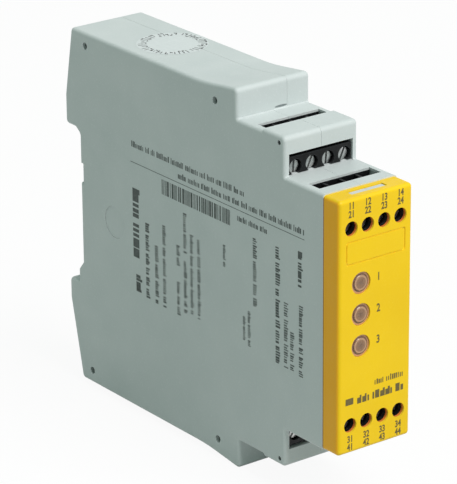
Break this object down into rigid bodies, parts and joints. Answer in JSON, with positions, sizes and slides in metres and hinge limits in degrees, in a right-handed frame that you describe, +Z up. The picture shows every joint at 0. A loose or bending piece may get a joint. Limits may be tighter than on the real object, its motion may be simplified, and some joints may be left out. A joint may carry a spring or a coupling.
{
  "type": "safety relay",
  "caption": "Narrow stepped safety relay housing for a DIN rail, with a yellow front, status lamps, screw clamps on two tiers top and bottom and a sprung rail latch.",
  "frame": {"origin": "centre of the housing's width and height on the face that seats against the rail", "axes": "+X across the width, +Y out of the back towards the rail, +Z up along the housing's height; the front faces -Y"},
  "size_m": [0.0226, 0.1138, 0.1008],
  "materials": {
    "housing_plastic": "fine matt moulded light grey",
    "cover_plastic": "fine matt moulded yellow",
    "terminal_plastic": "satin black",
    "screw_steel": "zinc plated",
    "cage_steel": "zinc plated",
    "contact_brass": "tinned brass",
    "latch_plastic": "black moulded",
    "spring_steel": "drawn wire",
    "board_laminate": "green solder mask",
    "relay_case": "pale moulded case",
    "capacitor_can": "sleeved can",
    "fuse_case": "moulded case",
    "chip_case": "moulded epoxy",
    "lens_plastic": "translucent tinted",
    "led_resin": "clear resin"
  },
  "bodies": {
    "housing": {"capacitor": "capacitor_can", "contact_bars_bottom_front": "contact_brass", "contact_bars_bottom_rear": "contact_brass", "contact_bars_top_front": "contact_brass", "contact_bars_top_rear": "contact_brass", "front_cover": "cover_plastic", "fuse": "fuse_case", "housing_left": "housing_plastic", "housing_right": "housing_plastic", "latch_spring": "spring_steel", "logic_chip_1": "chip_case", "logic_chip_2": "chip_case", "main_circuit_board": "board_laminate", "status_led_1": "led_resin", "status_led_2": "led_resin", "status_led_3": "led_resin", "status_lens_1": "lens_plastic", "status_lens_2": "lens_plastic", "status_lens_3": "lens_plastic", "switching_relay_1": "relay_case", "switching_relay_2": "relay_case", "switching_relay_3": "relay_case", "terminal_block_bottom_front": "terminal_plastic", "terminal_block_bottom_rear": "terminal_plastic", "terminal_block_top_front": "terminal_plastic", "terminal_block_top_rear": "terminal_plastic"},
    "clamp_cage_bottom_front_1": {"clamp_cage_bottom_front_1": "cage_steel"},
    "clamp_cage_bottom_front_2": {"clamp_cage_bottom_front_2": "cage_steel"},
    "clamp_cage_bottom_front_3": {"clamp_cage_bottom_front_3": "cage_steel"},
    "clamp_cage_bottom_front_4": {"clamp_cage_bottom_front_4": "cage_steel"},
    "clamp_cage_bottom_rear_1": {"clamp_cage_bottom_rear_1": "cage_steel"},
    "clamp_cage_bottom_rear_2": {"clamp_cage_bottom_rear_2": "cage_steel"},
    "clamp_cage_bottom_rear_3": {"clamp_cage_bottom_rear_3": "cage_steel"},
    "clamp_cage_bottom_rear_4": {"clamp_cage_bottom_rear_4": "cage_steel"},
    "clamp_cage_top_front_1": {"clamp_cage_top_front_1": "cage_steel"},
    "clamp_cage_top_front_2": {"clamp_cage_top_front_2": "cage_steel"},
    "clamp_cage_top_front_3": {"clamp_cage_top_front_3": "cage_steel"},
    "clamp_cage_top_front_4": {"clamp_cage_top_front_4": "cage_steel"},
    "clamp_cage_top_rear_1": {"clamp_cage_top_rear_1": "cage_steel"},
    "clamp_cage_top_rear_2": {"clamp_cage_top_rear_2": "cage_steel"},
    "clamp_cage_top_rear_3": {"clamp_cage_top_rear_3": "cage_steel"},
    "clamp_cage_top_rear_4": {"clamp_cage_top_rear_4": "cage_steel"},
    "clamp_screw_bottom_front_1": {"clamp_screw_bottom_front_1": "screw_steel"},
    "clamp_screw_bottom_front_2": {"clamp_screw_bottom_front_2": "screw_steel"},
    "clamp_screw_bottom_front_3": {"clamp_screw_bottom_front_3": "screw_steel"},
    "clamp_screw_bottom_front_4": {"clamp_screw_bottom_front_4": "screw_steel"},
    "clamp_screw_bottom_rear_1": {"clamp_screw_bottom_rear_1": "screw_steel"},
    "clamp_screw_bottom_rear_2": {"clamp_screw_bottom_rear_2": "screw_steel"},
    "clamp_screw_bottom_rear_3": {"clamp_screw_bottom_rear_3": "screw_steel"},
    "clamp_screw_bottom_rear_4": {"clamp_screw_bottom_rear_4": "screw_steel"},
    "clamp_screw_top_front_1": {"clamp_screw_top_front_1": "screw_steel"},
    "clamp_screw_top_front_2": {"clamp_screw_top_front_2": "screw_steel"},
    "clamp_screw_top_front_3": {"clamp_screw_top_front_3": "screw_steel"},
    "clamp_screw_top_front_4": {"clamp_screw_top_front_4": "screw_steel"},
    "clamp_screw_top_rear_1": {"clamp_screw_top_rear_1": "screw_steel"},
    "clamp_screw_top_rear_2": {"clamp_screw_top_rear_2": "screw_steel"},
    "clamp_screw_top_rear_3": {"clamp_screw_top_rear_3": "screw_steel"},
    "clamp_screw_top_rear_4": {"clamp_screw_top_rear_4": "screw_steel"},
    "rail_latch": {"rail_latch": "latch_plastic"}
  },
  "joints": [
    {"name": "turn_screw_top_rear_1", "type": "hinge", "parent": "housing", "child": "clamp_screw_top_rear_1", "pos_m": [-0.0075, -0.0854, 0.03495], "axis": [0, 1, 0], "range_deg": [0, 1800.01]},
    {"name": "lift_cage_top_rear_1", "type": "slide", "parent": "housing", "child": "clamp_cage_top_rear_1", "axis": [0, -1, 0], "range_m": [0, 0.0025]},
    {"name": "turn_screw_top_rear_2", "type": "hinge", "parent": "housing", "child": "clamp_screw_top_rear_2", "pos_m": [-0.0025, -0.0854, 0.03495], "axis": [0, 1, 0], "range_deg": [0, 1800.01]},
    {"name": "lift_cage_top_rear_2", "type": "slide", "parent": "housing", "child": "clamp_cage_top_rear_2", "axis": [0, -1, 0], "range_m": [0, 0.0025]},
    {"name": "turn_screw_top_rear_3", "type": "hinge", "parent": "housing", "child": "clamp_screw_top_rear_3", "pos_m": [0.0025, -0.0854, 0.03495], "axis": [0, 1, 0], "range_deg": [0, 1800.01]},
    {"name": "lift_cage_top_rear_3", "type": "slide", "parent": "housing", "child": "clamp_cage_top_rear_3", "axis": [0, -1, 0], "range_m": [0, 0.0025]},
    {"name": "turn_screw_top_rear_4", "type": "hinge", "parent": "housing", "child": "clamp_screw_top_rear_4", "pos_m": [0.0075, -0.0854, 0.03495], "axis": [0, 1, 0], "range_deg": [0, 1800.01]},
    {"name": "lift_cage_top_rear_4", "type": "slide", "parent": "housing", "child": "clamp_cage_top_rear_4", "axis": [0, -1, 0], "range_m": [0, 0.0025]},
    {"name": "turn_screw_top_front_1", "type": "hinge", "parent": "housing", "child": "clamp_screw_top_front_1", "pos_m": [-0.0075, -0.105, 0.02535], "axis": [0, 1, 0], "range_deg": [0, 1800.01]},
    {"name": "lift_cage_top_front_1", "type": "slide", "parent": "housing", "child": "clamp_cage_top_front_1", "axis": [0, -1, 0], "range_m": [0, 0.0025]},
    {"name": "turn_screw_top_front_2", "type": "hinge", "parent": "housing", "child": "clamp_screw_top_front_2", "pos_m": [-0.0025, -0.105, 0.02535], "axis": [0, 1, 0], "range_deg": [0, 1800.01]},
    {"name": "lift_cage_top_front_2", "type": "slide", "parent": "housing", "child": "clamp_cage_top_front_2", "axis": [0, -1, 0], "range_m": [0, 0.0025]},
    {"name": "turn_screw_top_front_3", "type": "hinge", "parent": "housing", "child": "clamp_screw_top_front_3", "pos_m": [0.0025, -0.105, 0.02535], "axis": [0, 1, 0], "range_deg": [0, 1800.01]},
    {"name": "lift_cage_top_front_3", "type": "slide", "parent": "housing", "child": "clamp_cage_top_front_3", "axis": [0, -1, 0], "range_m": [0, 0.0025]},
    {"name": "turn_screw_top_front_4", "type": "hinge", "parent": "housing", "child": "clamp_screw_top_front_4", "pos_m": [0.0075, -0.105, 0.02535], "axis": [0, 1, 0], "range_deg": [0, 1800.01]},
    {"name": "lift_cage_top_front_4", "type": "slide", "parent": "housing", "child": "clamp_cage_top_front_4", "axis": [0, -1, 0], "range_m": [0, 0.0025]},
    {"name": "turn_screw_bottom_rear_1", "type": "hinge", "parent": "housing", "child": "clamp_screw_bottom_rear_1", "pos_m": [-0.0075, -0.0854, -0.03495], "axis": [0, 1, 0], "range_deg": [0, 1800.01]},
    {"name": "lift_cage_bottom_rear_1", "type": "slide", "parent": "housing", "child": "clamp_cage_bottom_rear_1", "axis": [0, -1, 0], "range_m": [0, 0.0025]},
    {"name": "turn_screw_bottom_rear_2", "type": "hinge", "parent": "housing", "child": "clamp_screw_bottom_rear_2", "pos_m": [-0.0025, -0.0854, -0.03495], "axis": [0, 1, 0], "range_deg": [0, 1800.01]},
    {"name": "lift_cage_bottom_rear_2", "type": "slide", "parent": "housing", "child": "clamp_cage_bottom_rear_2", "axis": [0, -1, 0], "range_m": [0, 0.0025]},
    {"name": "turn_screw_bottom_rear_3", "type": "hinge", "parent": "housing", "child": "clamp_screw_bottom_rear_3", "pos_m": [0.0025, -0.0854, -0.03495], "axis": [0, 1, 0], "range_deg": [0, 1800.01]},
    {"name": "lift_cage_bottom_rear_3", "type": "slide", "parent": "housing", "child": "clamp_cage_bottom_rear_3", "axis": [0, -1, 0], "range_m": [0, 0.0025]},
    {"name": "turn_screw_bottom_rear_4", "type": "hinge", "parent": "housing", "child": "clamp_screw_bottom_rear_4", "pos_m": [0.0075, -0.0854, -0.03495], "axis": [0, 1, 0], "range_deg": [0, 1800.01]},
    {"name": "lift_cage_bottom_rear_4", "type": "slide", "parent": "housing", "child": "clamp_cage_bottom_rear_4", "axis": [0, -1, 0], "range_m": [0, 0.0025]},
    {"name": "turn_screw_bottom_front_1", "type": "hinge", "parent": "housing", "child": "clamp_screw_bottom_front_1", "pos_m": [-0.0075, -0.105, -0.02535], "axis": [0, 1, 0], "range_deg": [0, 1800.01]},
    {"name": "lift_cage_bottom_front_1", "type": "slide", "parent": "housing", "child": "clamp_cage_bottom_front_1", "axis": [0, -1, 0], "range_m": [0, 0.0025]},
    {"name": "turn_screw_bottom_front_2", "type": "hinge", "parent": "housing", "child": "clamp_screw_bottom_front_2", "pos_m": [-0.0025, -0.105, -0.02535], "axis": [0, 1, 0], "range_deg": [0, 1800.01]},
    {"name": "lift_cage_bottom_front_2", "type": "slide", "parent": "housing", "child": "clamp_cage_bottom_front_2", "axis": [0, -1, 0], "range_m": [0, 0.0025]},
    {"name": "turn_screw_bottom_front_3", "type": "hinge", "parent": "housing", "child": "clamp_screw_bottom_front_3", "pos_m": [0.0025, -0.105, -0.02535], "axis": [0, 1, 0], "range_deg": [0, 1800.01]},
    {"name": "lift_cage_bottom_front_3", "type": "slide", "parent": "housing", "child": "clamp_cage_bottom_front_3", "axis": [0, -1, 0], "range_m": [0, 0.0025]},
    {"name": "turn_screw_bottom_front_4", "type": "hinge", "parent": "housing", "child": "clamp_screw_bottom_front_4", "pos_m": [0.0075, -0.105, -0.02535], "axis": [0, 1, 0], "range_deg": [0, 1800.01]},
    {"name": "lift_cage_bottom_front_4", "type": "slide", "parent": "housing", "child": "clamp_cage_bottom_front_4", "axis": [0, -1, 0], "range_m": [0, 0.0025]},
    {"name": "pull_latch", "type": "slide", "parent": "housing", "child": "rail_latch", "axis": [0, 0, -1], "range_m": [0, 0.0028], "stiffness_N_per_m": 1500, "springref_m": -0.003, "deforming": ["latch_spring"]}
  ],
  "couplings": [
    {"joint": "turn_screw_top_rear_1", "follows": "lift_cage_top_rear_1", "rad_per_m": 12566},
    {"joint": "turn_screw_top_rear_2", "follows": "lift_cage_top_rear_2", "rad_per_m": 12566},
    {"joint": "turn_screw_top_rear_3", "follows": "lift_cage_top_rear_3", "rad_per_m": 12566},
    {"joint": "turn_screw_top_rear_4", "follows": "lift_cage_top_rear_4", "rad_per_m": 12566},
    {"joint": "turn_screw_top_front_1", "follows": "lift_cage_top_front_1", "rad_per_m": 12566},
    {"joint": "turn_screw_top_front_2", "follows": "lift_cage_top_front_2", "rad_per_m": 12566},
    {"joint": "turn_screw_top_front_3", "follows": "lift_cage_top_front_3", "rad_per_m": 12566},
    {"joint": "turn_screw_top_front_4", "follows": "lift_cage_top_front_4", "rad_per_m": 12566},
    {"joint": "turn_screw_bottom_rear_1", "follows": "lift_cage_bottom_rear_1", "rad_per_m": 12566},
    {"joint": "turn_screw_bottom_rear_2", "follows": "lift_cage_bottom_rear_2", "rad_per_m": 12566},
    {"joint": "turn_screw_bottom_rear_3", "follows": "lift_cage_bottom_rear_3", "rad_per_m": 12566},
    {"joint": "turn_screw_bottom_rear_4", "follows": "lift_cage_bottom_rear_4", "rad_per_m": 12566},
    {"joint": "turn_screw_bottom_front_1", "follows": "lift_cage_bottom_front_1", "rad_per_m": 12566},
    {"joint": "turn_screw_bottom_front_2", "follows": "lift_cage_bottom_front_2", "rad_per_m": 12566},
    {"joint": "turn_screw_bottom_front_3", "follows": "lift_cage_bottom_front_3", "rad_per_m": 12566},
    {"joint": "turn_screw_bottom_front_4", "follows": "lift_cage_bottom_front_4", "rad_per_m": 12566}
  ]
}
